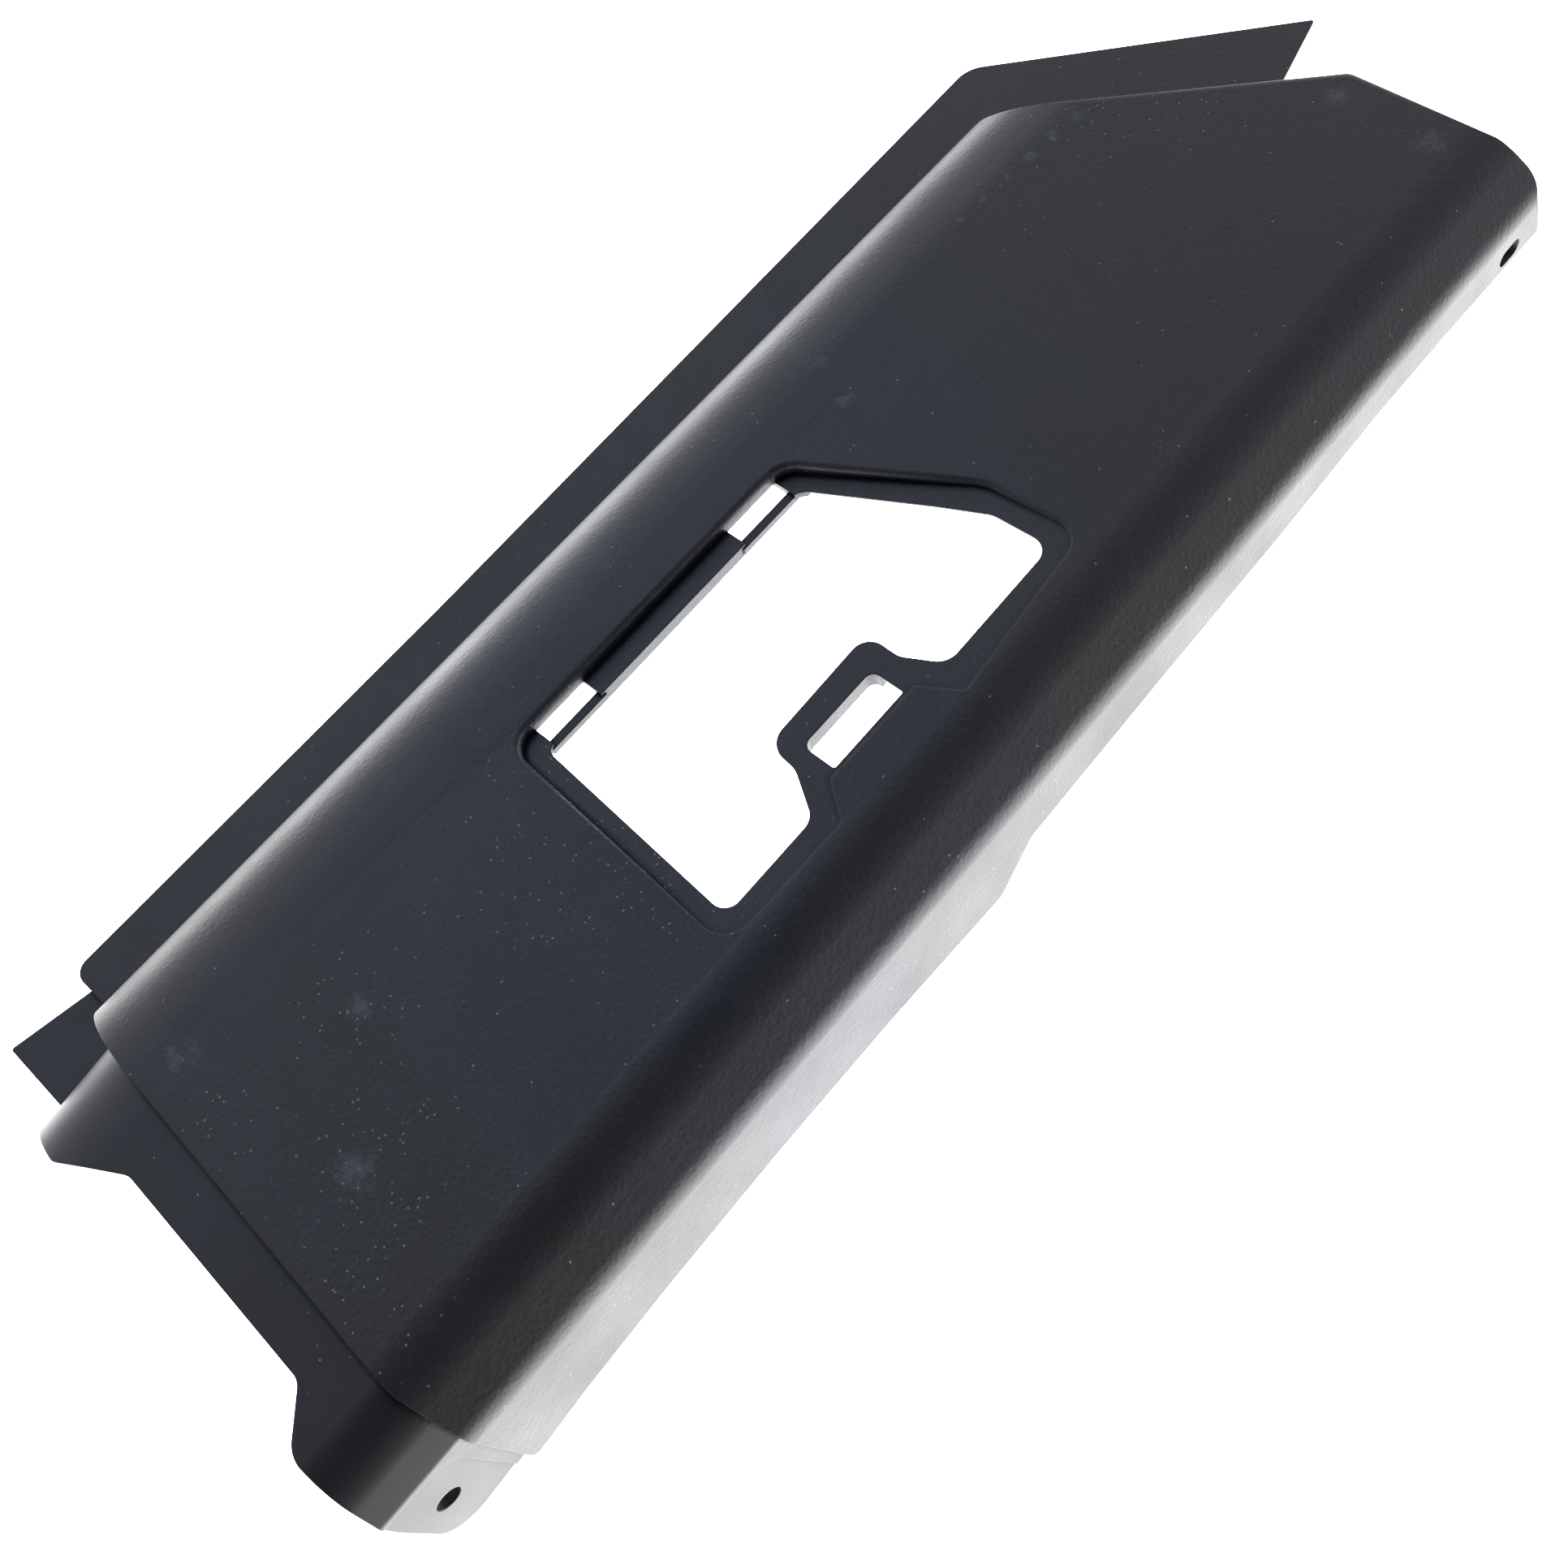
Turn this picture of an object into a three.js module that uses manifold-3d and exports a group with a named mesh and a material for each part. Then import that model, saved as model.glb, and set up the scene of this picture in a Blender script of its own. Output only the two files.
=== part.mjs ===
// Vehicle kick plate: one injection-moulded sill and cowl panel with its retaining clips and
// anti-squeak tapes. Millimetres, +Z up.
//
// Working datum, used by every dimension below:
//   X runs along the panel, 0 where the crease meets the lapped end
//   Y runs across it, 0 on the crease, positive towards the rear strip
//   Z is 0 on the flat outer face and negative below it
// The finished group is then moved so that its origin is the centre of its footprint.

import * as THREE from 'three';
import { mergeVertices } from 'three/addons/utils/BufferGeometryUtils.js';
import Module from 'manifold-3d';

const wasm = await Module();
wasm.setup();

// ---------------------------------------------------------------- driving dimensions

const WALL = 2.5;                  // moulding thickness
const BELOW = -90;                 // any height well under the part
const REACH = 700;                 // any length well over the part's

// Cross-section
const CREASE_RADIUS = 26;
const BEVEL_WIDTH = 18;            // across, from the crease to the flange
const BEVEL_DROP = 17;
const BEVEL_EDGE_RADIUS = 12;
const FLANGE_LEAN = THREE.MathUtils.degToRad(6);
const ROLL_START = 118.5;          // where the flat face ends and the big roll begins
const ROLL_RADIUS = 45;

// Ends
const LAP_EDGE = [                 // the lapped end in plan; it bends at the crease
  [13.3, 240], [0, 0], [2.5, -17.5], [4.4, -22], [8.4, -22.9], [8.4, -60],
];
const TOP_CORNER = [491.5, 51.7];   // where the slanted top edge meets the end edge
const TOP_NORMAL = THREE.MathUtils.degToRad(39.6);
const TOP_SLOPE = 0.72;            // outward run of the top wall for each mm down
const END_SLOPE = 0.33;            // the same for the end wall
const EASED_SLOPE = 0.55;          // and for the narrow wall that eases the corner between them
const CORNER_EASE = 0.45;
const END_CORNER_RADIUS = 7.5;     // upright corner between the end wall and the flange
const RIM_RADIUS = 4.5;            // rounding between the face and those walls

// Rear strip
const STRIP_Z = -30;
const STRIP_OUTLINE = [
  [9.9, 179, 5], [170, 179, 0], [451.5, 183, 13], [535.5, 91.6, 0.8],
  [480, 78, 0], [440, 60, 0], [9.9, 60, 0],
];

// Lower edge of the end wall and of the flange, as X and Z
const END_WALL_FOOT = -35;
const FLANGE_FOOT = [
  [-60, -68, 0], [0, -60.8, 0], [28, -56.2, 40], [60, -53.1, 90], [110, -50.9, 150],
  [160, -51.5, 150], [211, -54.9, 4], [227.5, -42, 5], [292, -38.9, 60], [350, -37.2, 60],
  [405, -33.4, 60], [440, -33.4, 60], [REACH, -42, 0], [REACH, BELOW, 0], [-60, BELOW, 0],
];

// Lapped end: a skirt set below the face, ending in two tabs, and a tongue below the strip
const LAP_DROP = 3;
const SKIRT_CREASE = [-3.5, -LAP_DROP, 20];
const SKIRT_BEVEL = [-14.6, -20, 2.5]; // bevel edge, Y and Z, and its rounding
const SKIRT_ROLL_START = 111;
const SKIRT_ROLL_RADIUS = 40;
const SKIRT_TAPER = 0.11;          // the roll side narrows by this for each mm along the skirt
const SKIRT_OUTLINE = [
  [6, -40, 0], [-27.3, -40, 0], [-27.3, 10.3, 9], [-14, 22.4, 5],
  [-11.3, 99.3, 7], [-24, 121, 5], [-24.6, 170, 0], [12, 170, 0],
];
const TAB_OUTLINE = [              // the tab's end and foot, as X and Z
  [20, 10, 0], [-27.3, 10, 0], [-27.3, -32, 60], [-24.7, -65.9, 11], [20, -60.2, 0],
];
const TONGUE_OUTLINE = [[12, 171, 0], [-19, 177.3, 1], [-19.4, 130, 0], [12, 130, 0]];

// Screw holes in the flange and the tab
const TAB_HOLE = { x: -15.4, z: -42.5, diameter: 8 };
const TAB_BOSS = { diameter: 15, from: 12.8, to: 15.5 };  // thick wall behind it, as depths along Y
const END_SLOT = { x: 478.8, z: -29.3, length: 11, height: 6 };
const PAD_DEPTH = 0.5;
const PAD_OUTLINE = [[-30, -21.8, 0], [-4, -22.8, 8], [-0.5, -66, 0], [-30, -66, 0]];

// Access window: a seat for a flap, the opening, two hinge slots and a latch slot
const SEAT_HINGE_DEPTH = 5;        // below the face at the hinge side
const SEAT_LATCH_DEPTH = 0.9;
const SEAT_HINGE_Y = 105.2;
const SEAT_LATCH_Y = 12;
const SEAT_RIM_RADIUS = 2.4;       // rounding between the face and the seat's walls
const SEAT_RIM_ANGLES = [30, 60].map(THREE.MathUtils.degToRad);
const SEAT_OUTLINE = [
  [145, SEAT_HINGE_Y, 8], [266, SEAT_HINGE_Y, 10], [296.5, 49.5, 16], [298.5, 16.3, 8],
  [239, 11.2, 1], [231.5, 24, 3], [194, 24, 3], [185.5, 12.6, 1], [140, 13.6, 8],
];
const OPENING_OUTLINE = [
  [151.5, 97.2, 3], [263.4, 97.2, 8], [283, 57.2, 20], [290, 41.5, 10], [290.7, 20.5, 6],
  [242.7, 20, 7], [236.2, 33, 7], [236.4, 45.7, 6], [192.1, 44.9, 7], [190.9, 33.5, 9],
  [182, 19.1, 6], [146, 19.1, 5],
];
const OPENING_LIP = { thickness: 0.8, width: 2.2, until: 94 };  // thinned from below up to here
const LATCH_SLOT = [[197.7, 24.4, 0.8], [228, 24.4, 0.8], [228, 36.4, 3], [197.7, 36.4, 3]];
const LATCH_RETURN = { depth: 6.5, wall: 2, from: 33 };         // hangs from the slot's far edge
const HINGE_SLOTS = [[154.2, 174.7], [239.5, 261.7]];
const HINGE_SLOT_WIDTH = 5.6;
const HINGE_BAR = { width: 2.9, height: 2.8, drop: 1.2, proud: 1.1, overlap: 1.5 };
const HINGE_UNDERCUT = 1.6;        // the slot runs this far under the seat's wall
const HINGE_RIB = { depth: 4.9, wall: 2 };                      // between the two hinge bars

// Clip towers and their spring clips, on the hidden side
const TOWERS = [[45, 146], [160, 146], [275, 146], [390, 146], [462, 70]];
const TOWER = { width: 16, depth: 9, rib: 1.8, foot: -48, blade: 2, bladeFoot: -57.2 };
const CLIP = { thickness: 0.7, width: 10, gap: 0.35, top: -50, barb: 2.6, foot: -64.4 };

// Anti-squeak tapes under the rear strip
const TAPE = { thickness: 2.5, width: 10, gap: 0.3 };
const TAPE_RUNS = [
  { name: 'antisqueak_tape_long', from: [28, 171], to: [440, 174] },
  { name: 'antisqueak_tape_top', from: [455, 163.5], to: [513, 100.5] },
];

// ---------------------------------------------------------------- materials

const plastic = new THREE.MeshStandardMaterial({ color: 0x2f3137, roughness: 0.55, metalness: 0 });
const steel = new THREE.MeshStandardMaterial({ color: 0x8d9096, roughness: 0.35, metalness: 0.9 });
const felt = new THREE.MeshStandardMaterial({ color: 0x1c1c1e, roughness: 0.95, metalness: 0 });

// ---------------------------------------------------------------- helpers

// A closed outline from corners given as [u, v, radius].
function outline(corners) {
  const shape = new THREE.Shape();
  corners.forEach(([u, v, radius], i) => {
    const corner = new THREE.Vector2(u, v);
    const before = new THREE.Vector2(...corners.at(i - 1).slice(0, 2)).sub(corner).normalize();
    const after = new THREE.Vector2(...corners[(i + 1) % corners.length].slice(0, 2))
      .sub(corner).normalize();
    const half = Math.acos(THREE.MathUtils.clamp(before.dot(after), -1, 1)) / 2;
    const line = i ? 'lineTo' : 'moveTo';
    if (!radius || half > 1.55) {
      shape[line](u, v);
      return;
    }
    const start = before.clone().multiplyScalar(radius / Math.tan(half)).add(corner);
    const end = after.clone().multiplyScalar(radius / Math.tan(half)).add(corner);
    const centre = before.clone().add(after).normalize()
      .multiplyScalar(radius / Math.sin(half)).add(corner);
    const clockwise = before.cross(after) > 0;
    shape[line](start.x, start.y);
    shape.absarc(centre.x, centre.y, radius, Math.atan2(start.y - centre.y, start.x - centre.x),
      Math.atan2(end.y - centre.y, end.x - centre.x), clockwise);
  });
  return shape;
}

// The same corners moved inwards by a distance, with radii to match.
function inset(corners, distance) {
  const area = corners.reduce((sum, [u, v], i) => {
    const [un, vn] = corners[(i + 1) % corners.length];
    return sum + u * vn - un * v;
  }, 0);
  const inwards = Math.sign(area) * distance;
  return corners.map(([u, v, radius], i) => {
    const [ub, vb] = corners.at(i - 1);
    const [ua, va] = corners[(i + 1) % corners.length];
    const a = new THREE.Vector2(u - ub, v - vb).normalize();
    const b = new THREE.Vector2(ua - u, va - v).normalize();
    const turn = a.cross(b);
    const slide = Math.abs(turn) < 1e-6 ? 0 : (1 - a.dot(b)) / turn;
    const moved = [u + inwards * (-a.y - a.x * slide), v + inwards * (a.x - a.y * slide)];
    const change = Math.sign(turn * area) * distance;
    return [...moved, radius ? Math.max(radius - change, 0.2) : 0];
  });
}

function solid(geometry) {
  const plain = geometry.index ? geometry.toNonIndexed() : geometry;
  plain.deleteAttribute('normal');
  plain.deleteAttribute('uv');
  const merged = mergeVertices(plain, 1e-4);
  return new wasm.Manifold(new wasm.Mesh({
    numProp: 3,
    vertProperties: Float32Array.from(merged.attributes.position.array),
    triVerts: Uint32Array.from(merged.index.array),
  }));
}

// An outline in one plane pushed along the third axis, as a manifold solid.
function extrude(shape, from, to, axes, segments = 6) {
  const geometry = new THREE.ExtrudeGeometry(shape, {
    depth: to - from, bevelEnabled: false, curveSegments: segments,
  });
  geometry.translate(0, 0, from);
  geometry.applyMatrix4(axes);
  return solid(geometry);
}

const basis = (u, v, w) => new THREE.Matrix4().makeBasis(
  new THREE.Vector3(...u), new THREE.Vector3(...v), new THREE.Vector3(...w));
const UPRIGHT = basis([1, 0, 0], [0, 1, 0], [0, 0, 1]);        // outline in XY, pushed along Z
const ALONG_X = basis([0, 1, 0], [0, 0, 1], [1, 0, 0]);        // outline in YZ, pushed along X
const ALONG_Y = basis([1, 0, 0], [0, 0, 1], [0, -1, 0]);       // outline in XZ, pushed along -Y

const prism = (corners, from, to) => extrude(outline(corners), from, to, UPRIGHT);

function box(x0, x1, y0, y1, z0, z1) {
  const geometry = new THREE.BoxGeometry(x1 - x0, y1 - y0, z1 - z0);
  geometry.translate((x0 + x1) / 2, (y0 + y1) / 2, (z0 + z1) / 2);
  return solid(geometry);
}

function meshOf(name, manifold, material) {
  const { vertProperties, triVerts } = manifold.getMesh();
  const geometry = new THREE.BufferGeometry();
  geometry.setAttribute('position', new THREE.BufferAttribute(vertProperties, 3));
  geometry.setIndex(new THREE.BufferAttribute(triVerts, 1));
  geometry.computeVertexNormals();
  const mesh = new THREE.Mesh(geometry, material);
  mesh.name = name;
  return mesh;
}

// ---------------------------------------------------------------- main body

const flangeRun = (z) => -Math.tan(FLANGE_LEAN) * (-z - BEVEL_DROP);

// Section of the body, closed far below the part.
const BODY_SECTION = [
  [-BEVEL_WIDTH + flangeRun(BELOW), BELOW, 0],
  [-BEVEL_WIDTH, -BEVEL_DROP, BEVEL_EDGE_RADIUS],
  [0, 0, CREASE_RADIUS],
  [ROLL_START + ROLL_RADIUS, 0, ROLL_RADIUS],
  [ROLL_START + ROLL_RADIUS, BELOW, 0],
];

// Everything on the body's side of a wall that slopes outwards as it goes down. The wall's top
// edge passes through a point, and its outward direction is an angle in plan.
function wallCutter([x, y], angle, slope, thickness) {
  const depth = -BELOW;
  const corners = [
    [-REACH, BELOW, 0], [slope * depth, BELOW, 0], [0, 0, RIM_RADIUS], [-REACH, 0, 0],
  ];
  const shape = outline(inset(corners, thickness));
  const cos = Math.cos(angle);
  const sin = Math.sin(angle);
  const axes = basis([cos, sin, 0], [0, 0, 1], [sin, -cos, 0]).setPosition(x, y, 0);
  return extrude(shape, -REACH, REACH, axes);
}

// Plan of the far end with its corner at the flange rounded. It shears to follow the sloping
// end wall and the leaning flange, and stands clear of both everywhere but at the corner.
function endPlan(thickness) {
  const clear = 0.05;
  const side = -BEVEL_WIDTH - clear;
  const end = TOP_CORNER[0] + clear;
  const corners = inset([
    [-REACH, side, 0], [end, side, END_CORNER_RADIUS], [end, REACH, 0], [-REACH, REACH, 0],
  ], thickness);
  const lean = Math.tan(FLANGE_LEAN);
  return extrude(outline(corners), BELOW, 20, new THREE.Matrix4().set(
    1, 0, -END_SLOPE, 0, 0, 1, lean, lean * BEVEL_DROP, 0, 0, 1, 0, 0, 0, 0, 1));
}

const easedCorner = [
  TOP_CORNER[0] - CORNER_EASE * Math.cos(TOP_NORMAL / 2),
  TOP_CORNER[1] - CORNER_EASE * Math.sin(TOP_NORMAL / 2),
];

// The body as a block: the section run along X, cut by the top and end walls.
function bodyBlock(thickness) {
  return extrude(outline(inset(BODY_SECTION, thickness)), -60, REACH, ALONG_X, 14)
    .intersect(wallCutter(TOP_CORNER, TOP_NORMAL, TOP_SLOPE, thickness))
    .intersect(wallCutter(easedCorner, TOP_NORMAL / 2, EASED_SLOPE, thickness))
    .intersect(wallCutter(TOP_CORNER, 0, END_SLOPE, thickness))
    .intersect(endPlan(thickness));
}

// Everything on the +X side of the lapped end, moved along by an offset.
function pastEnd(offset) {
  const edge = LAP_EDGE.map(([x, y]) => [x + offset, y, 0]);
  return prism([...edge, [REACH, edge.at(-1)[1], 0], [REACH, edge[0][1], 0]], 2 * BELOW, 20);
}

const bodyInside = bodyBlock(WALL).intersect(pastEnd(WALL));
const bodyShell = bodyBlock(0).intersect(pastEnd(0)).subtract(bodyInside);

// ---------------------------------------------------------------- rear strip

const stripPlate = prism(STRIP_OUTLINE, STRIP_Z - WALL, STRIP_Z).subtract(bodyInside)
  .intersect(pastEnd(0));

// ---------------------------------------------------------------- lapped end

const SKIRT_SECTION = [
  [SKIRT_BEVEL[0] - Math.tan(FLANGE_LEAN) * (-BELOW + SKIRT_BEVEL[1]), BELOW, 0],
  SKIRT_BEVEL,
  SKIRT_CREASE,
  [SKIRT_ROLL_START + SKIRT_ROLL_RADIUS, -LAP_DROP, SKIRT_ROLL_RADIUS],
  [SKIRT_ROLL_START + SKIRT_ROLL_RADIUS, BELOW, 0],
];

// The skirt's section run along X, with its roll side closing in towards the free end.
function skirtBlock(thickness, from, to) {
  const geometry = new THREE.ExtrudeGeometry(outline(inset(SKIRT_SECTION, thickness)), {
    depth: to - from, bevelEnabled: false, curveSegments: 12,
  });
  geometry.translate(0, 0, from);
  geometry.applyMatrix4(ALONG_X);
  const position = geometry.attributes.position;
  for (let i = 0; i < position.count; i += 1) {
    const y = position.getY(i);
    const share = THREE.MathUtils.clamp(y / SKIRT_ROLL_START, 0, 1);
    position.setY(i, y + SKIRT_TAPER * share * Math.min(position.getX(i), 6));
  }
  return solid(geometry);
}

const skirtInside = skirtBlock(WALL, -60, 11);
const tabTrim = extrude(outline(TAB_OUTLINE), -240, 60, ALONG_Y);
const skirtReach = prism(SKIRT_OUTLINE, 2 * BELOW, 20);
const skirtShell = skirtBlock(0, -60, 10).intersect(skirtReach).intersect(tabTrim)
  .subtract(pastEnd(WALL / 2)).subtract(skirtInside);

const tongue = prism(TONGUE_OUTLINE, STRIP_Z - LAP_DROP - WALL, STRIP_Z - LAP_DROP)
  .subtract(pastEnd(WALL / 2)).subtract(skirtInside);

// Upright step between the strip and the tongue
const stripStep = prism(STRIP_OUTLINE, STRIP_Z - LAP_DROP - WALL, STRIP_Z)
  .intersect(pastEnd(0)).subtract(pastEnd(WALL)).subtract(skirtInside);

// ---------------------------------------------------------------- lower edges

// Room below the strip, the roll, the top wall and the end wall.
const rearRoom = box(-60, REACH, 20, 260, 2 * BELOW, STRIP_Z - WALL);
const tongueRoom = box(-60, REACH, 20, 260, 2 * BELOW, STRIP_Z - LAP_DROP - WALL);
const endRoom = box(440, REACH, -12, 20, 2 * BELOW, END_WALL_FOOT);
const flangeRoom = extrude(outline(FLANGE_FOOT), -30, 60, ALONG_Y);
const rearOfStep = rearRoom.intersect(pastEnd(WALL));

let shell = bodyShell.subtract(skirtInside).subtract(flangeRoom).add(stripPlate).add(stripStep)
  .add(skirtShell).add(tongue).subtract(rearOfStep).subtract(tongueRoom).subtract(endRoom);

// ---------------------------------------------------------------- access window

const seatRise = Math.atan2(SEAT_HINGE_DEPTH - SEAT_LATCH_DEPTH, SEAT_HINGE_Y - SEAT_LATCH_Y);
const seatZ = (y) => -SEAT_LATCH_DEPTH - Math.tan(seatRise) * (y - SEAT_LATCH_Y);

// Everything above a plane parallel to the seat.
function aboveSeat(drop) {
  const near = -40;
  const far = 240;
  return extrude(outline([
    [near, seatZ(near) - drop, 0], [far, seatZ(far) - drop, 0], [far, 40, 0], [near, 40, 0],
  ]), -60, REACH, ALONG_X);
}

const seatPocket = prism(SEAT_OUTLINE, BELOW, 20).intersect(aboveSeat(0));
const seatTray = prism(inset(SEAT_OUTLINE, -WALL), BELOW, -WALL / 2).intersect(aboveSeat(WALL));
const seatRims = SEAT_RIM_ANGLES.map((angle) => {
  const width = SEAT_RIM_RADIUS * (1 - Math.tan(angle / 2));
  return solid(new THREE.ExtrudeGeometry(outline(SEAT_OUTLINE), {
    depth: 10, bevelThickness: width * Math.tan(angle), bevelSize: width, bevelSegments: 1,
    curveSegments: 6,
  })).intersect(aboveSeat(0));
});
const opening = prism(OPENING_OUTLINE, BELOW, 20);
const openingRelief = prism(inset(OPENING_OUTLINE, -OPENING_LIP.width), BELOW, 0)
  .intersect(box(0, REACH, 0, OPENING_LIP.until, BELOW, 0))
  .subtract(aboveSeat(OPENING_LIP.thickness));
const latchRelief = prism(inset(LATCH_SLOT, -OPENING_LIP.width), BELOW, 0)
  .intersect(box(0, REACH, 0, LATCH_RETURN.from, BELOW, 0))
  .subtract(aboveSeat(OPENING_LIP.thickness));
const latchReturn = prism(inset(LATCH_SLOT, -LATCH_RETURN.wall), BELOW, -WALL)
  .intersect(aboveSeat(LATCH_RETURN.depth)).subtract(aboveSeat(WALL / 2))
  .intersect(box(0, REACH, LATCH_RETURN.from, REACH, BELOW, 0));
const hingeEdge = OPENING_OUTLINE[0][1];
const hingeRib = box(HINGE_SLOTS[0][1] + HINGE_BAR.overlap, HINGE_SLOTS[1][0] - HINGE_BAR.overlap,
  hingeEdge, hingeEdge + HINGE_RIB.wall, BELOW, 0)
  .intersect(aboveSeat(HINGE_RIB.depth)).subtract(aboveSeat(WALL / 2));

shell = shell.add(seatTray).subtract(openingRelief).subtract(latchRelief).add(latchReturn)
  .add(hingeRib).subtract(seatPocket).subtract(opening).subtract(prism(LATCH_SLOT, BELOW, 20));
shell = seatRims.reduce((body, rim) => body.subtract(rim), shell);

for (const [x0, x1] of HINGE_SLOTS) {
  const inner = SEAT_HINGE_Y - HINGE_SLOT_WIDTH;
  const top = seatZ(inner) - HINGE_BAR.drop;
  const barEdge = inner - HINGE_BAR.width;
  const bar = box(x0 - HINGE_BAR.overlap, x1 + HINGE_BAR.overlap, barEdge, inner,
    top - HINGE_BAR.height, top);
  const room = box(x0, x1, barEdge - HINGE_BAR.proud, SEAT_HINGE_Y, BELOW, 20);
  const under = box(x0, x1, inner, SEAT_HINGE_Y + HINGE_UNDERCUT, BELOW,
    -SEAT_HINGE_DEPTH - OPENING_LIP.thickness);
  shell = shell.subtract(room).subtract(under).add(bar);
}

// ---------------------------------------------------------------- screw holes

const tabPad = extrude(outline(PAD_OUTLINE), -10, 60, ALONG_Y)
  .subtract(skirtBlock(PAD_DEPTH, -60, 11));
shell = shell.subtract(tabPad);

// A round-ended bar across the flange, which cuts a hole or thickens the wall round one.
function crossBar(x, z, length, height, from = 5, to = 60) {
  const corners = [
    [x - length / 2, z - height / 2], [x + length / 2, z - height / 2],
    [x + length / 2, z + height / 2], [x - length / 2, z + height / 2],
  ].map((corner) => [...corner, height / 2 - 0.01]);
  return extrude(outline(corners), from, to, ALONG_Y, 8);
}

const { diameter, from, to } = TAB_BOSS;
shell = shell.add(crossBar(TAB_HOLE.x, TAB_HOLE.z, diameter, diameter, from, to))
  .subtract(crossBar(TAB_HOLE.x, TAB_HOLE.z, TAB_HOLE.diameter, TAB_HOLE.diameter))
  .subtract(crossBar(END_SLOT.x, END_SLOT.z, END_SLOT.length, END_SLOT.height));

// ---------------------------------------------------------------- clip towers

// Two gusset ribs joined by a cross rib, with a blade below them for the clip.
function tower([x, y]) {
  const half = TOWER.width / 2;
  const ribs = [-half, half - TOWER.rib].map((start) => box(
    x + start, x + start + TOWER.rib, y - TOWER.depth / 2, y + TOWER.depth / 2, TOWER.foot, -1));
  const blade = box(x - half + TOWER.rib / 2, x + half - TOWER.rib / 2,
    y - TOWER.blade / 2, y + TOWER.blade / 2, TOWER.foot, -1);
  const tip = box(x - CLIP.width / 2, x + CLIP.width / 2,
    y - TOWER.blade / 2, y + TOWER.blade / 2, TOWER.bladeFoot, TOWER.foot + 1);
  return ribs.reduce((sum, rib) => sum.add(rib), blade).add(tip);
}

for (const place of TOWERS) {
  shell = shell.add(tower(place).intersect(bodyBlock(WALL / 2)));
}

const panel = new THREE.Group();
panel.add(meshOf('panel_shell', shell, plastic));

// ---------------------------------------------------------------- spring clips

// A folded steel strip that grips the blade, with two barbs that spread outwards.
function clipSection() {
  const inner = TOWER.blade / 2 + CLIP.gap;
  const outer = inner + CLIP.thickness;
  const fold = TOWER.bladeFoot - CLIP.gap;
  const barbZ = (CLIP.top + CLIP.foot) / 2;
  return outline([
    [inner, CLIP.top, 0], [inner, fold, 0], [-inner, fold, 0], [-inner, CLIP.top, 0],
    [-outer, CLIP.top, 0], [-outer, barbZ + 3, 0], [-outer - CLIP.barb, barbZ, 0.5],
    [-outer, barbZ - 3, 0], [-0.8, CLIP.foot, 0.7], [0.8, CLIP.foot, 0.7],
    [outer, barbZ - 3, 0], [outer + CLIP.barb, barbZ, 0.5], [outer, barbZ + 3, 0],
    [outer, CLIP.top, 0],
  ]);
}

TOWERS.forEach(([x, y], i) => {
  const geometry = extrude(clipSection(), x - CLIP.width / 2 + 0.4, x + CLIP.width / 2 - 0.4,
    ALONG_X.clone().setPosition(0, y, 0));
  panel.add(meshOf(`spring_clip_${i + 1}`, geometry, steel));
});

// ---------------------------------------------------------------- anti-squeak tapes

for (const { name, from, to } of TAPE_RUNS) {
  const run = new THREE.Vector2(to[0] - from[0], to[1] - from[1]);
  const geometry = new THREE.BoxGeometry(run.length(), TAPE.width, TAPE.thickness);
  const tape = new THREE.Mesh(geometry, felt);
  tape.name = name;
  tape.rotation.z = run.angle();
  tape.position.set((from[0] + to[0]) / 2, (from[1] + to[1]) / 2,
    STRIP_Z - WALL - TAPE.gap - TAPE.thickness / 2);
  panel.add(tape);
}

// ---------------------------------------------------------------- final frame

const extent = new THREE.Box3().setFromObject(panel);
const centre = extent.getCenter(new THREE.Vector3());
panel.position.set(-centre.x, -centre.y, -extent.min.z);

export default panel;
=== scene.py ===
"""Vehicle kick plate: the visual model, built around its CAD frame. Metres, +Z up."""

import math

import bmesh
import bpy
from mathutils import Matrix, Vector, noise


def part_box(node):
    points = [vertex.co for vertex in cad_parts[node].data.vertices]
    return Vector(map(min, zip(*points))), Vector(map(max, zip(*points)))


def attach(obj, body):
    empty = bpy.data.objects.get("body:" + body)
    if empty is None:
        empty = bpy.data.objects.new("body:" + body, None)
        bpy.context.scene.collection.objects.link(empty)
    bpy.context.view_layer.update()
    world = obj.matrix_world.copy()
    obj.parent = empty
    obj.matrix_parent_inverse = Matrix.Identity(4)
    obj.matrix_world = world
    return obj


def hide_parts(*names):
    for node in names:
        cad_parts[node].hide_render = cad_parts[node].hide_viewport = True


MM = 0.001

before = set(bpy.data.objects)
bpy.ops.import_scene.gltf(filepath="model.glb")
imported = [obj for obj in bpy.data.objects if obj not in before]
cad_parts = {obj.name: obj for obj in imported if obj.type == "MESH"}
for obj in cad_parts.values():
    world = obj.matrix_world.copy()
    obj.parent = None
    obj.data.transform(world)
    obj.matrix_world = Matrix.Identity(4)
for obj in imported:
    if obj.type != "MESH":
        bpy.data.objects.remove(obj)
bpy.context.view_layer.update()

# ---------------------------------------------------------------- the panel's own datum

# The crease between the flat face and the bevel runs along X. The datum is where it meets the
# lapped end, on the plane of the face.
SHELL_LOW, SHELL_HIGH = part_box("panel_shell")
TAB_LENGTH = 27.3 * MM
LAP_LEAN = 0.0554                  # the lapped end moves along +X by this for each mm across
DATUM = Vector((SHELL_LOW.x + TAB_LENGTH, -80.2 * MM, SHELL_HIGH.z))


def at(x, y, z=0.0):
    """A place in the row frame from millimetres along, across and above the datum."""
    return DATUM + Vector((x, y, z)) * MM


# ---------------------------------------------------------------- node helpers

FRAY_SCALE, FRAY_DETAIL, FRAY_ROUGHNESS = 130, 5.0, 0.7     # the noise that makes a mask ragged


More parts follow.
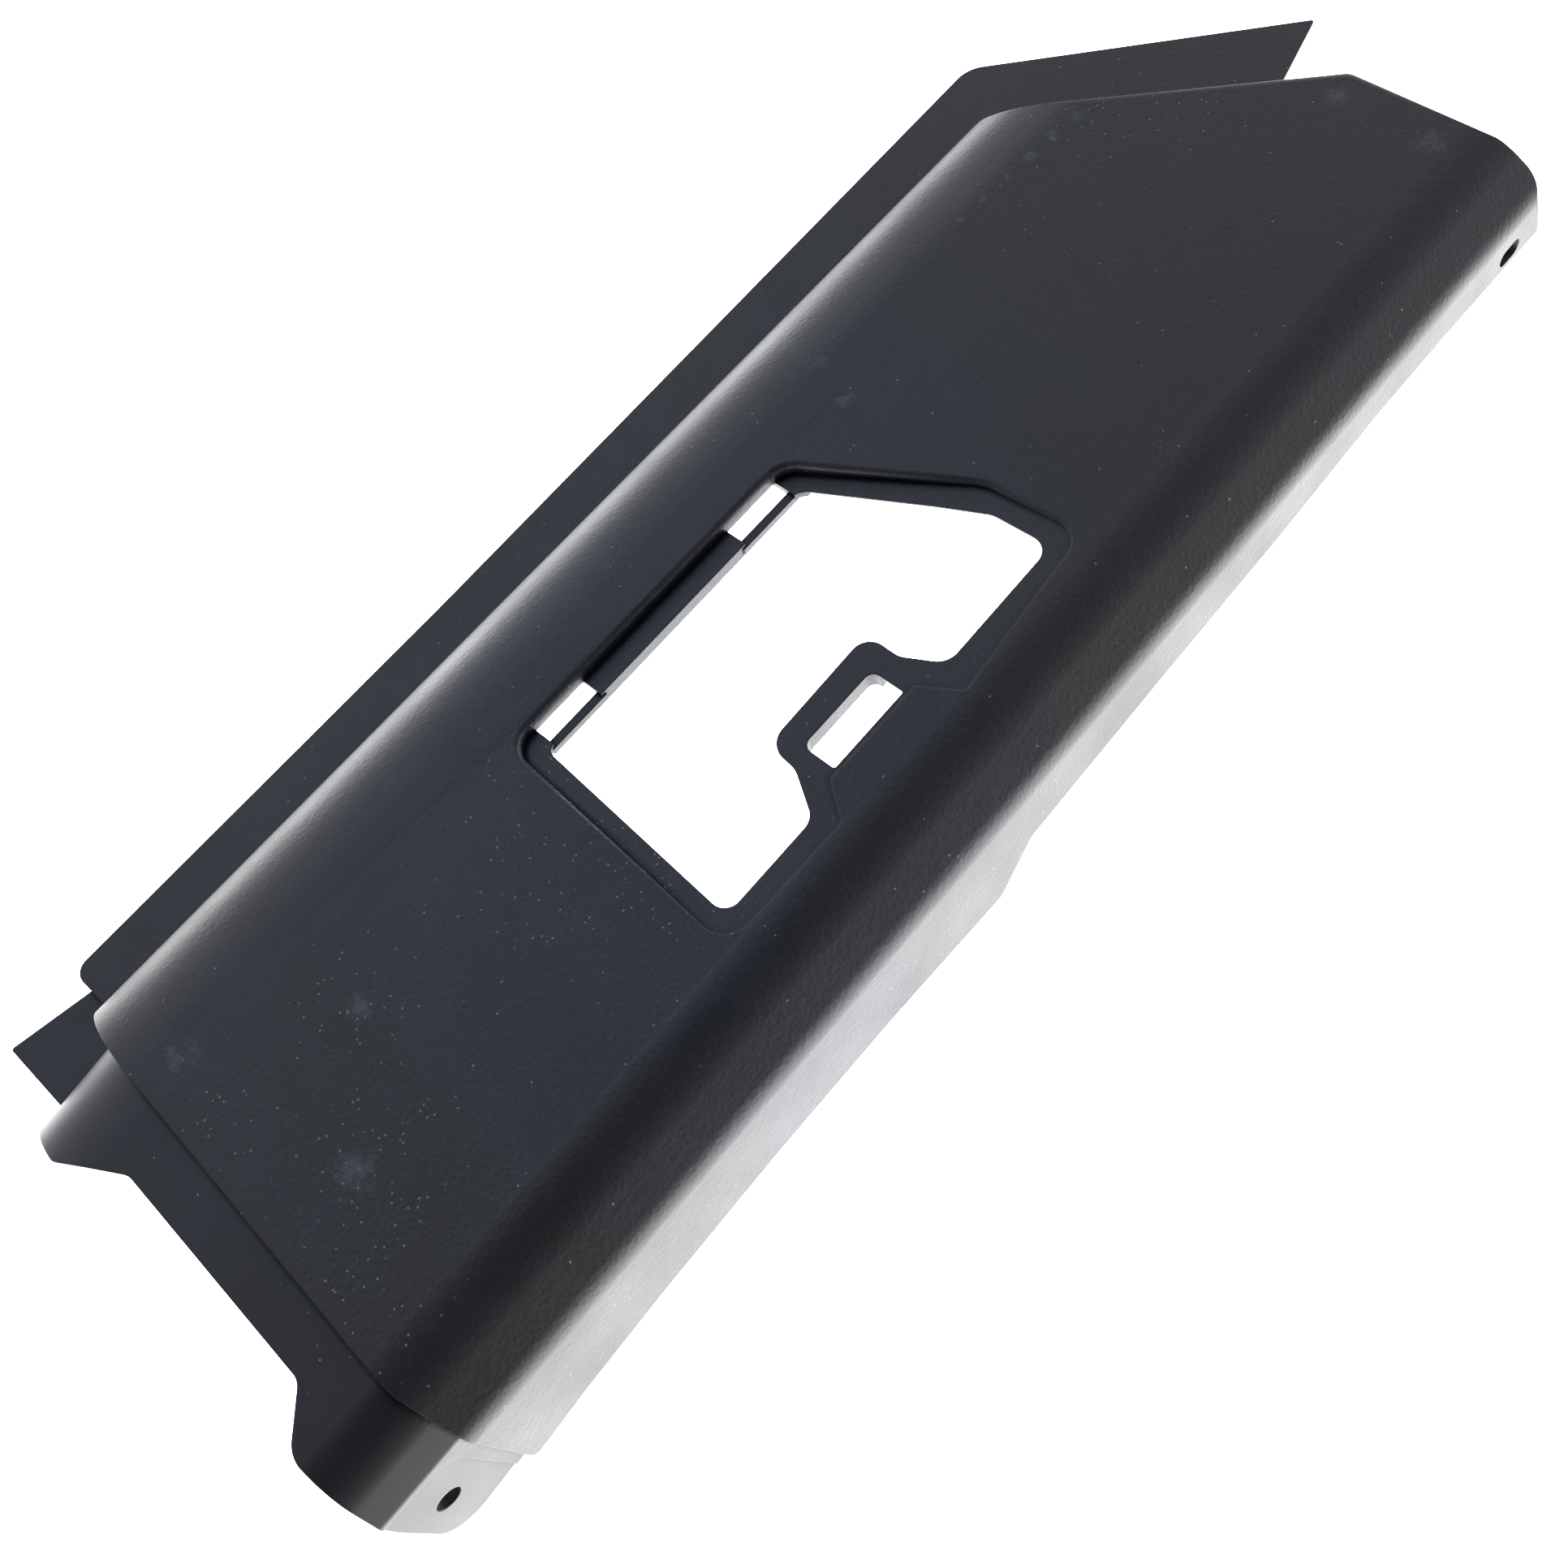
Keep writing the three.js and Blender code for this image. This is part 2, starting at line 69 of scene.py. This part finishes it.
class Graph:
    """A short way to write the nodes of a material or of the world."""

    def __init__(self, owner, shader="Principled BSDF"):
        owner.use_nodes = True
        self.owner = owner
        self.tree = owner.node_tree
        self.shader = self.tree.nodes[shader]

    def link(self, value, socket):
        if isinstance(value, bpy.types.NodeSocket):
            self.tree.links.new(value, socket)
        else:
            socket.default_value = value

    def node(self, kind, inputs=(), **settings):
        node = self.tree.nodes.new(kind)
        for key, value in settings.items():
            setattr(node, key, value)
        for key, value in dict(inputs).items():
            self.link(value, node.inputs[key])
        return node

    def math(self, operation, a, b=0.0):
        return self.node("ShaderNodeMath", {0: a, 1: b}, operation=operation).outputs[0]

    def vector(self, operation, a, b):
        return self.node("ShaderNodeVectorMath", {0: a, 1: b}, operation=operation)

    def place(self):
        return self.node("ShaderNodeTexCoord").outputs["Object"]

    def noise(self, scale, detail=2.0, roughness=0.5, vector=None):
        node = self.node("ShaderNodeTexNoise", {
            "Vector": vector or self.place(), "Scale": scale, "Detail": detail,
            "Roughness": roughness})
        return node.outputs["Fac"]

    def voronoi(self, scale):
        return self.node("ShaderNodeTexVoronoi", {"Vector": self.place(), "Scale": scale}).outputs

    def ramp(self, value, low, high, dark=0.0, light=1.0):
        node = self.node("ShaderNodeMapRange", {
            "Value": value, "From Min": low, "From Max": high, "To Min": dark, "To Max": light})
        return node.outputs[0]

    def mix(self, factor, a, b):
        node = self.node("ShaderNodeMix", data_type="RGBA")
        self.link(factor, node.inputs[0])
        self.link(a, node.inputs[6])
        self.link(b, node.inputs[7])
        return node.outputs[2]

    def spots(self, places, ragged):
        """A mask: 1 in the middle of each place, falling to 0 at its frayed outline."""
        flat = self.vector("MULTIPLY", self.place(), (1, 1, 0)).outputs[0]
        fray = self.noise(FRAY_SCALE, FRAY_DETAIL, FRAY_ROUGHNESS)
        fray = self.math("MULTIPLY", self.math("SUBTRACT", fray, 0.5), ragged)
        mask = 0.0
        for x, y, radius in places:
            middle = at(x, y)
            away = self.vector("DISTANCE", flat, (middle.x, middle.y, 0)).outputs["Value"]
            away = self.math("ADD", away, self.math("MULTIPLY", fray, radius * MM))
            mask = self.math("MAXIMUM", mask, self.ramp(away, 0, radius * MM, 1, 0))
        return mask

    def bump(self, height, distance, strength, normal=None):
        inputs = {"Height": height, "Distance": distance, "Strength": strength}
        if normal is not None:
            inputs["Normal"] = normal
        return self.node("ShaderNodeBump", inputs).outputs[0]


def new_material(name):
    return Graph(bpy.data.materials.new(name))


# ---------------------------------------------------------------- camera, floor and light

CAMERA_PLACE = at(85.0, -143.1, 407.3)
CAMERA_FORWARD = Vector((0.2201, 0.3853, -0.8962))
CAMERA_UP = Vector((0.7231, 0.5522, 0.4150))
CAMERA_LENS, CAMERA_SENSOR = 37.27, 36.0       # millimetres
CAMERA_CLIP = (0.01, 50.0)

FLOOR_SIZE = 8.0
FLOOR_GAP = 0.5 * MM               # between the floor and the panel's lowest point
FLOOR_WHITE, FLOOR_ROUGHNESS = (0.8, 0.8, 0.8, 1), 0.7
FLOOR_GLOW = 5.1                   # of the light table under the object
FLOOR_REACH = (0.31, 0.50)         # how far out its glow starts and stops falling off
FLOOR_GLOW_BEYOND = 0.7

OVERHEAD_DARK = (-0.2, -0.35, 0.915)    # the darkest part of the studio, above and behind the camera
# Brightness of the surround, by the cosine of the angle from its darkest part
SKY = ((0.0, 0.78), (0.2, 0.66), (0.35, 0.38), (0.46, 0.38), (0.58, 0.52), (0.72, 0.36),
       (0.82, 0.16), (0.92, 0.05))
SKY_TINT = (0.96, 1.0, 1.08)
NEAR_SIDE = (-0.45, -0.89, 0.0)    # the camera's side, where less light comes from
NEAR_SIDE_FALL = (0.45, 1.0, 1.0, 0.2)  # the cosines it dims between, and the light left at each
SOFTBOX = (0.02, 0.56, 0.83)       # the middle of a broad pale light beyond the rear strip
SOFTBOX_SPREAD = (0.86, 1.0)       # the cosines it fades in between
SOFTBOX_GLOW = (0.28, 0.40, 0.58)
SKY_STRENGTH = 1.3


def make_camera():
    """A camera at the photograph's viewing angle."""
    forward = CAMERA_FORWARD.normalized()
    right = forward.cross(CAMERA_UP).normalized()
    up = right.cross(forward)
    data = bpy.data.cameras.new("camera")
    data.lens = CAMERA_LENS
    data.sensor_width = CAMERA_SENSOR
    data.clip_start, data.clip_end = CAMERA_CLIP
    camera = bpy.data.objects.new("camera", data)
    camera.matrix_world = Matrix.Translation(CAMERA_PLACE) @ Matrix(
        (right, up, -forward)).transposed().to_4x4()
    bpy.context.scene.collection.objects.link(camera)
    bpy.context.scene.camera = camera


def make_floor():
    """A white light table that glows most under the object."""
    mesh = bpy.data.meshes.new("floor")
    half = FLOOR_SIZE / 2
    corners = [(-half, -half, 0), (half, -half, 0), (half, half, 0), (-half, half, 0)]
    mesh.from_pydata(corners, [], [(0, 1, 2, 3)])
    floor = bpy.data.objects.new("floor", mesh)
    floor.location.z = -FLOOR_GAP
    graph = new_material("light_table")
    far = graph.vector("LENGTH", graph.place(), (0, 0, 0)).outputs["Value"]
    glow = graph.ramp(far, *FLOOR_REACH, FLOOR_GLOW, FLOOR_GLOW_BEYOND)
    graph.shader.inputs["Base Color"].default_value = FLOOR_WHITE
    graph.shader.inputs["Roughness"].default_value = FLOOR_ROUGHNESS
    graph.shader.inputs["Emission Color"].default_value = (1, 1, 1, 1)
    graph.link(glow, graph.shader.inputs["Emission Strength"])
    mesh.materials.append(graph.owner)
    bpy.context.scene.collection.objects.link(floor)


def make_world():
    """A soft grey surround with a broad pale light beyond the rear strip."""
    world = bpy.data.worlds.new("studio")
    bpy.context.scene.world = world
    graph = Graph(world, "Background")
    way = graph.node("ShaderNodeTexCoord").outputs["Generated"]

    def toward(direction):
        return graph.vector("DOT_PRODUCT", way, Vector(direction).normalized()).outputs["Value"]

    sky = graph.node("ShaderNodeValToRGB", {0: toward(OVERHEAD_DARK)})
    while len(sky.color_ramp.elements) < len(SKY):
        sky.color_ramp.elements.new(0.5)
    for element, (position, value) in zip(sky.color_ramp.elements, SKY):
        element.position = position
        element.color = [value * tint for tint in SKY_TINT] + [1]
    shade = graph.ramp(toward(NEAR_SIDE), *NEAR_SIDE_FALL)
    ambient = graph.vector("MULTIPLY", sky.outputs[0], shade).outputs[0]
    pale = graph.mix(graph.ramp(toward(SOFTBOX), *SOFTBOX_SPREAD), (0, 0, 0, 1),
                     (*SOFTBOX_GLOW, 1))
    graph.shader.inputs["Strength"].default_value = SKY_STRENGTH
    graph.link(graph.vector("ADD", ambient, pale).outputs[0], graph.shader.inputs["Color"])


make_camera()
make_floor()
make_world()
bpy.context.scene.view_settings.view_transform = "Standard"

# ---------------------------------------------------------------- materials

SOFT_EDGE = 0.8 * MM               # how far the moulding's edges are shaded round
CREVICE = 2.2 * MM                 # corners narrower than this get painted shade: less sheen and a darker colour
CREVICE_OPEN = (0.5, 0.97)         # how open a corner is where its painted shade is darkest and where it stops
SHADER_SAMPLES = 6                 # rays for the edges and for the painted shade in the crevices

# The blue of the charcoal is worn off towards both ends of the panel
WORN_NEAR = at(60, 0).x, at(60, 0).x + 0.09, 1.0, 0.0       # from and to along X, and how worn at each
WORN_FAR = at(380, 0).x - 0.14, at(380, 0).x, 0.0, 0.8

# Colours of the plastic
BLUE_CHARCOAL = (0.0160, 0.0200, 0.0300, 1)
WORN_CHARCOAL = (0.0235, 0.0208, 0.0238, 1)
SMOOTH_CHARCOAL = (0.0190, 0.0165, 0.0205, 1)
FLECK_GREY = (0.034, 0.036, 0.043, 1)
RUB_GREY = (0.17, 0.18, 0.20, 1)
DUST_BUFF = (0.34, 0.31, 0.27, 1)
# Painted shade for the crevices, not a colour of the plastic itself
PAINTED_CREVICE_SHADE = (0.004, 0.004, 0.005, 1)

# Where the panel has been rubbed pale, as X, Y and radius in millimetres from the datum.
RUB_ROW = [(372 + 11.4 * step, 120 - 0.7 * step, 3.2 + 0.6 * step) for step in range(6)]
RUBS = RUB_ROW + [(304, 138, 8), (303, 121, 6), (296, 104, 7), (480, 50, 8), (478, 16, 12),
                  (20, 112, 11), (32, 48, 13), (62, 82, 9)]
RUB_RAGGED, RUB_PULL, RUB_STRENGTH = 1.1, 0.34, 0.38
# Where dust has settled
DUST = [(12, 26, 26), (36, 48, 30), (62, 84, 26), (17, 92, 20), (445, 110, 40), (150, 60, 60)]
DUST_RAGGED, DUST_SHARE, DUST_SHARE_ELSEWHERE = 1.6, 0.45, 0.018
DUST_SCALE, GRAIN_SCALE = 560.0, 620.0


def grained_plastic():
    """Charcoal moulding with a leather grain, worn and dusty, with a smooth lapped end and painted
    shade in its crevices.
    """
    graph = new_material("grained_plastic")
    place = graph.node("ShaderNodeSeparateXYZ", {0: graph.place()})

    # The lapped end is moulded smooth; the rest has a fine leather grain.
    past_lap = graph.math("SUBTRACT", place.outputs[0],
                          graph.math("MULTIPLY", place.outputs[1], LAP_LEAN))
    lap_edge = at(0, 0).x - at(0, 0).y * LAP_LEAN
    grained = graph.ramp(past_lap, lap_edge - MM, lap_edge + MM)

    # Colour: charcoal that drifts between blue and neutral
    drift = graph.ramp(graph.noise(6, 2.0, 0.5), 0.38, 0.62)
    mottle = graph.noise(140, 4.0, 0.65)
    worn = graph.math("MAXIMUM", graph.ramp(past_lap, *WORN_NEAR), graph.ramp(past_lap, *WORN_FAR))
    base = graph.mix(graph.math("MAXIMUM", drift, worn), BLUE_CHARCOAL, WORN_CHARCOAL)
    flecks = graph.ramp(graph.noise(700, 3.0, 0.7), 0.42, 0.72, 0, 0.75)
    flecks = graph.math("MULTIPLY", flecks, graph.ramp(mottle, 0.3, 0.7))
    base = graph.mix(flecks, base, FLECK_GREY)
    base = graph.mix(grained, SMOOTH_CHARCOAL, base)

    # Wear: pale rubs, dust and a few specks
    streaky = graph.vector("MULTIPLY", graph.place(), (1.0, 0.45, 1.0)).outputs[0]
    scuff = graph.noise(520, 8.0, 0.85, streaky)
    rubbed = graph.math("MULTIPLY", graph.spots(RUBS, RUB_RAGGED), RUB_PULL)
    rubbed = graph.ramp(graph.math("ADD", rubbed, scuff), 0.68, 0.84)
    rubbed = graph.math("MULTIPLY", rubbed, RUB_STRENGTH)
    specks = graph.voronoi(DUST_SCALE)
    thinned = graph.node("ShaderNodeSeparateColor", {0: specks["Color"]}).outputs[0]
    dusty = graph.math("MULTIPLY", graph.spots(DUST, DUST_RAGGED), DUST_SHARE)
    dusty = graph.math("ADD", dusty, DUST_SHARE_ELSEWHERE)
    kept = graph.math("LESS_THAN", thinned, dusty)
    dust = graph.math("MULTIPLY", graph.ramp(specks["Distance"], 0.1, 0.24, 0.8, 0), kept)
    base = graph.mix(rubbed, base, RUB_GREY)
    base = graph.mix(dust, base, DUST_BUFF)

    # Sheen: satin, broken up by handling
    handled = graph.noise(28, 5.0, 0.6)
    rough = graph.ramp(handled, 0.3, 0.7, 0.38, 0.47)
    rough = graph.math("ADD", rough, graph.math("MULTIPLY", graph.math("ADD", rubbed, dust), 0.3))
    graph.link(rough, graph.shader.inputs["Roughness"])

    # Painted shade in the crevices: where ambient occlusion finds a narrow corner, its sheen is turned
    # down and its colour painted nearly black
    open_air = graph.node("ShaderNodeAmbientOcclusion", {"Distance": CREVICE},
                          samples=SHADER_SAMPLES, only_local=True).outputs["AO"]
    graph.link(graph.ramp(open_air, *CREVICE_OPEN, 0.0, 0.5),
               graph.shader.inputs["Specular IOR Level"])
    base = graph.mix(graph.ramp(open_air, *CREVICE_OPEN), PAINTED_CREVICE_SHADE, base)
    graph.link(base, graph.shader.inputs["Base Color"])

    # Relief: the grain, and the faint waviness of a thin moulding
    grain = graph.math("MULTIPLY", graph.voronoi(GRAIN_SCALE)["Distance"], 0.7)
    leather = graph.math("ADD", grain, graph.noise(900, 4.0, 0.65))
    depth = graph.math("MULTIPLY", leather, graph.ramp(grained, 0, 1, 0.15, 1.0))
    edges = graph.node("ShaderNodeBevel", {"Radius": SOFT_EDGE}, samples=SHADER_SAMPLES).outputs[0]
    relief = graph.bump(graph.noise(22, 2.0, 0.4), 0.8 * MM, 0.22, edges)
    relief = graph.bump(depth, 0.12 * MM, 0.7, relief)
    graph.link(relief, graph.shader.inputs["Normal"])
    return graph.owner


def spring_steel():
    """Bare rolled steel, with fine streaks that run up and down each clip."""
    graph = new_material("spring_steel")
    stretched = graph.vector("MULTIPLY", graph.place(), (1, 1, 0.06)).outputs[0]
    streaks = graph.noise(2600, 4.0, 0.7, stretched)
    patina = graph.noise(160, 4.0, 0.6)
    tone = graph.mix(patina, (0.40, 0.40, 0.41, 1), (0.62, 0.61, 0.58, 1))
    graph.shader.inputs["Metallic"].default_value = 1.0
    graph.link(tone, graph.shader.inputs["Base Color"])
    graph.link(graph.ramp(streaks, 0.3, 0.7, 0.26, 0.44), graph.shader.inputs["Roughness"])
    graph.link(graph.bump(streaks, 0.02 * MM, 0.5), graph.shader.inputs["Normal"])
    return graph.owner


def felt():
    """Black needle felt."""
    graph = new_material("felt")
    fuzz = graph.noise(2600, 6.0, 0.75)
    clumps = graph.noise(420, 3.0, 0.6)
    tone = graph.mix(fuzz, (0.008, 0.008, 0.009, 1), (0.055, 0.055, 0.058, 1))
    tone = graph.mix(graph.ramp(clumps, 0.4, 0.7, 0, 0.5), tone, (0.03, 0.03, 0.03, 1))
    graph.link(tone, graph.shader.inputs["Base Color"])
    graph.link(graph.ramp(fuzz, 0.2, 0.8, 0.85, 1.0), graph.shader.inputs["Roughness"])
    graph.shader.inputs["Sheen Weight"].default_value = 0.4
    graph.shader.inputs["Sheen Roughness"].default_value = 0.6
    relief = graph.bump(fuzz, 0.3 * MM, 0.8)
    graph.link(graph.bump(clumps, 0.6 * MM, 0.5, relief), graph.shader.inputs["Normal"])
    return graph.owner


PLASTIC = grained_plastic()
STEEL = spring_steel()
FELT = felt()


def piece(name, body, material, slot, *nodes):
    """Turn a bmesh into a named piece of the panel that stands for CAD nodes."""
    mesh = bpy.data.meshes.new(name)
    body.to_mesh(mesh)
    body.free()
    mesh.materials.append(material)
    made = bpy.data.objects.new(name, mesh)
    bpy.context.scene.collection.objects.link(made)
    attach(made, "root")
    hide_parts(*nodes)
    return made


def round_edges(made, width, angle):
    """Round the edges of a piece that are sharper than an angle in degrees."""
    bevel = made.modifiers.new("edges", "BEVEL")
    bevel.width = width
    bevel.segments = 2
    bevel.limit_method = "ANGLE"
    bevel.angle_limit = math.radians(angle)
    bevel.harden_normals = True


# ---------------------------------------------------------------- the moulded panel

SMOOTH_ANGLE = math.radians(32)    # joins between facets that are flatter than this look smooth
MERGE_DISTANCE = 0.001 * MM        # closer points are one point


def smooth_normals(body):
    """A normal for each corner of each face: its neighbours within the angle, by area."""
    limit = math.cos(SMOOTH_ANGLE)
    normals = []
    for face in body.faces:
        for loop in face.loops:
            total = Vector()
            for near in loop.vert.link_faces:
                if near.normal.dot(face.normal) > limit:
                    total += near.normal * near.calc_area()
            normals.append(total.normalized() if total.length > 0 else face.normal.copy())
    return normals


def moulded_panel():
    """The shell, with its faceted curves shaded smooth and its edges kept crisp."""
    body = bmesh.new()
    body.from_mesh(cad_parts["panel_shell"].data)
    bmesh.ops.remove_doubles(body, verts=body.verts, dist=MERGE_DISTANCE)
    body.normal_update()
    normals = smooth_normals(body)
    for face in body.faces:
        face.smooth = True
    panel = piece("moulded_panel", body, PLASTIC, "grained_plastic", "panel_shell")
    panel.data.normals_split_custom_set(normals)


# ---------------------------------------------------------------- spring clips

CLIP_COUNT = 5
CLIP_STEEL = 0.7
CLIP_HALF_WIDTH = 4.6
CLIP_WINDOW = 2.3                  # half width of the hole each barb is lanced from
# Half of the strip, from its nose up to its lip, as offset from the blade and height above the nose
CLIP_LEG = [(0.0, 0.4), (0.55, 0.65), (0.95, 1.3), (1.3, 3.0), (1.62, 5.6), (1.72, 7.6),
            (1.72, 13.2), (2.0, 14.3)]
CLIP_WINDOW_FROM, CLIP_WINDOW_TO = 3, 5
# One barb, from the leg out to its free end
CLIP_BARB = [(1.3, 2.9), (2.1, 4.4), (3.5, 6.2), (4.25, 7.3), (4.1, 8.1)]
CLIP_BARB_GAP = 0.25               # between a barb and each side of its window
CLIP_EDGE, CLIP_EDGE_ANGLE = 0.12 * MM, 40


def spring_clip(index):
    """A folded steel strip that grips the blade, with a barb lanced out of each leg."""
    node = f"spring_clip_{index}"
    low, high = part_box(node)
    foot = Vector(((low.x + high.x) / 2, (low.y + high.y) / 2, low.z))
    body = bmesh.new()

    def strip(path, columns, skip=()):
        rows = [[body.verts.new(foot + Vector((x, y, z)) * MM) for x in columns]
                for y, z in path]
        for i, (row, following) in enumerate(zip(rows, rows[1:])):
            for j in range(len(columns) - 1):
                if (i, j) not in skip:
                    body.faces.new((row[j], row[j + 1], following[j + 1], following[j]))

    left = [(-y, z) for y, z in reversed(CLIP_LEG[1:])]
    turns = len(left)
    holes = [turns + i for i in range(CLIP_WINDOW_FROM, CLIP_WINDOW_TO)]
    holes += [turns - 1 - i for i in range(CLIP_WINDOW_FROM, CLIP_WINDOW_TO)]
    columns = (-CLIP_HALF_WIDTH, -CLIP_WINDOW, CLIP_WINDOW, CLIP_HALF_WIDTH)
    strip(left + CLIP_LEG, columns, [(i, 1) for i in holes])
    inner = CLIP_WINDOW - CLIP_BARB_GAP
    strip(CLIP_BARB, (-inner, inner))
    strip([(-y, z) for y, z in reversed(CLIP_BARB)], (-inner, inner))
    clip = piece(f"clip_{index}", body, STEEL, "spring_steel", node)
    plate = clip.modifiers.new("steel", "SOLIDIFY")
    plate.thickness = CLIP_STEEL * MM
    plate.offset = 0
    round_edges(clip, CLIP_EDGE, CLIP_EDGE_ANGLE)


# ---------------------------------------------------------------- anti-squeak tapes

TAPE_WIDTH = 10.0
TAPE_THICKNESS = 2.5
TAPE_STEP = 2.5                    # spacing of the points along a tape
TAPE_TOP = -32.8                   # the glued face, below the plane of the panel's face
TAPE_CORNER = 0.35                 # how far its lower corners are cut back
TAPE_SHRINK, TAPE_UNEVEN, TAPE_WAVE = 0.12, 0.1, 0.21
TAPE_EDGE, TAPE_EDGE_ANGLE = 0.3 * MM, 50
TAPE_RUNS = {
    "antisqueak_tape_long": ((28, 171), (440, 174)),
    "antisqueak_tape_top": ((455, 163.5), (513, 100.5)),
}


def felt_tape(node, start, end):
    """A cut strip of felt: soft edges and a slightly uneven surface."""
    start, end = Vector(start), Vector(end)
    along = (end - start).normalized()
    across = Vector((-along.y, along.x))
    count = int((end - start).length / TAPE_STEP)
    half, thick = TAPE_WIDTH / 2, TAPE_THICKNESS
    corner = half - TAPE_CORNER
    section = [(-half, 0), (-half, -0.9 * thick), (-corner, -thick), (-half / 2, -thick),
               (0, -thick), (half / 2, -thick), (corner, -thick), (half, -0.9 * thick), (half, 0)]
    body = bmesh.new()
    rings = []
    for i in range(count + 1):
        middle = start + along * ((end - start).length * i / count)
        ring = []
        for side, down in section:
            wobble = noise.noise(Vector((middle.x * TAPE_WAVE + side, middle.y * TAPE_WAVE,
                                         down * 3)))
            shrink = TAPE_SHRINK + TAPE_UNEVEN * wobble
            side -= math.copysign(shrink, side) if side else 0
            spot = middle + across * side
            height = TAPE_TOP + down + (shrink if down else 0)
            ring.append(body.verts.new(at(spot.x, spot.y, height)))
        rings.append(ring)
    for ring, following in zip(rings, rings[1:]):
        for j in range(len(section)):
            k = (j + 1) % len(section)
            body.faces.new((ring[j], ring[k], following[k], following[j]))
    body.faces.new(list(reversed(rings[0])))
    body.faces.new(rings[-1])
    bmesh.ops.recalc_face_normals(body, faces=body.faces)
    for face in body.faces:
        face.smooth = len(face.verts) == 4
    tape = piece(node.replace("antisqueak", "felt"), body, FELT, "felt", node)
    round_edges(tape, TAPE_EDGE, TAPE_EDGE_ANGLE)


moulded_panel()
for number in range(1, CLIP_COUNT + 1):
    spring_clip(number)
for tape_node, (run_start, run_end) in TAPE_RUNS.items():
    felt_tape(tape_node, run_start, run_end)
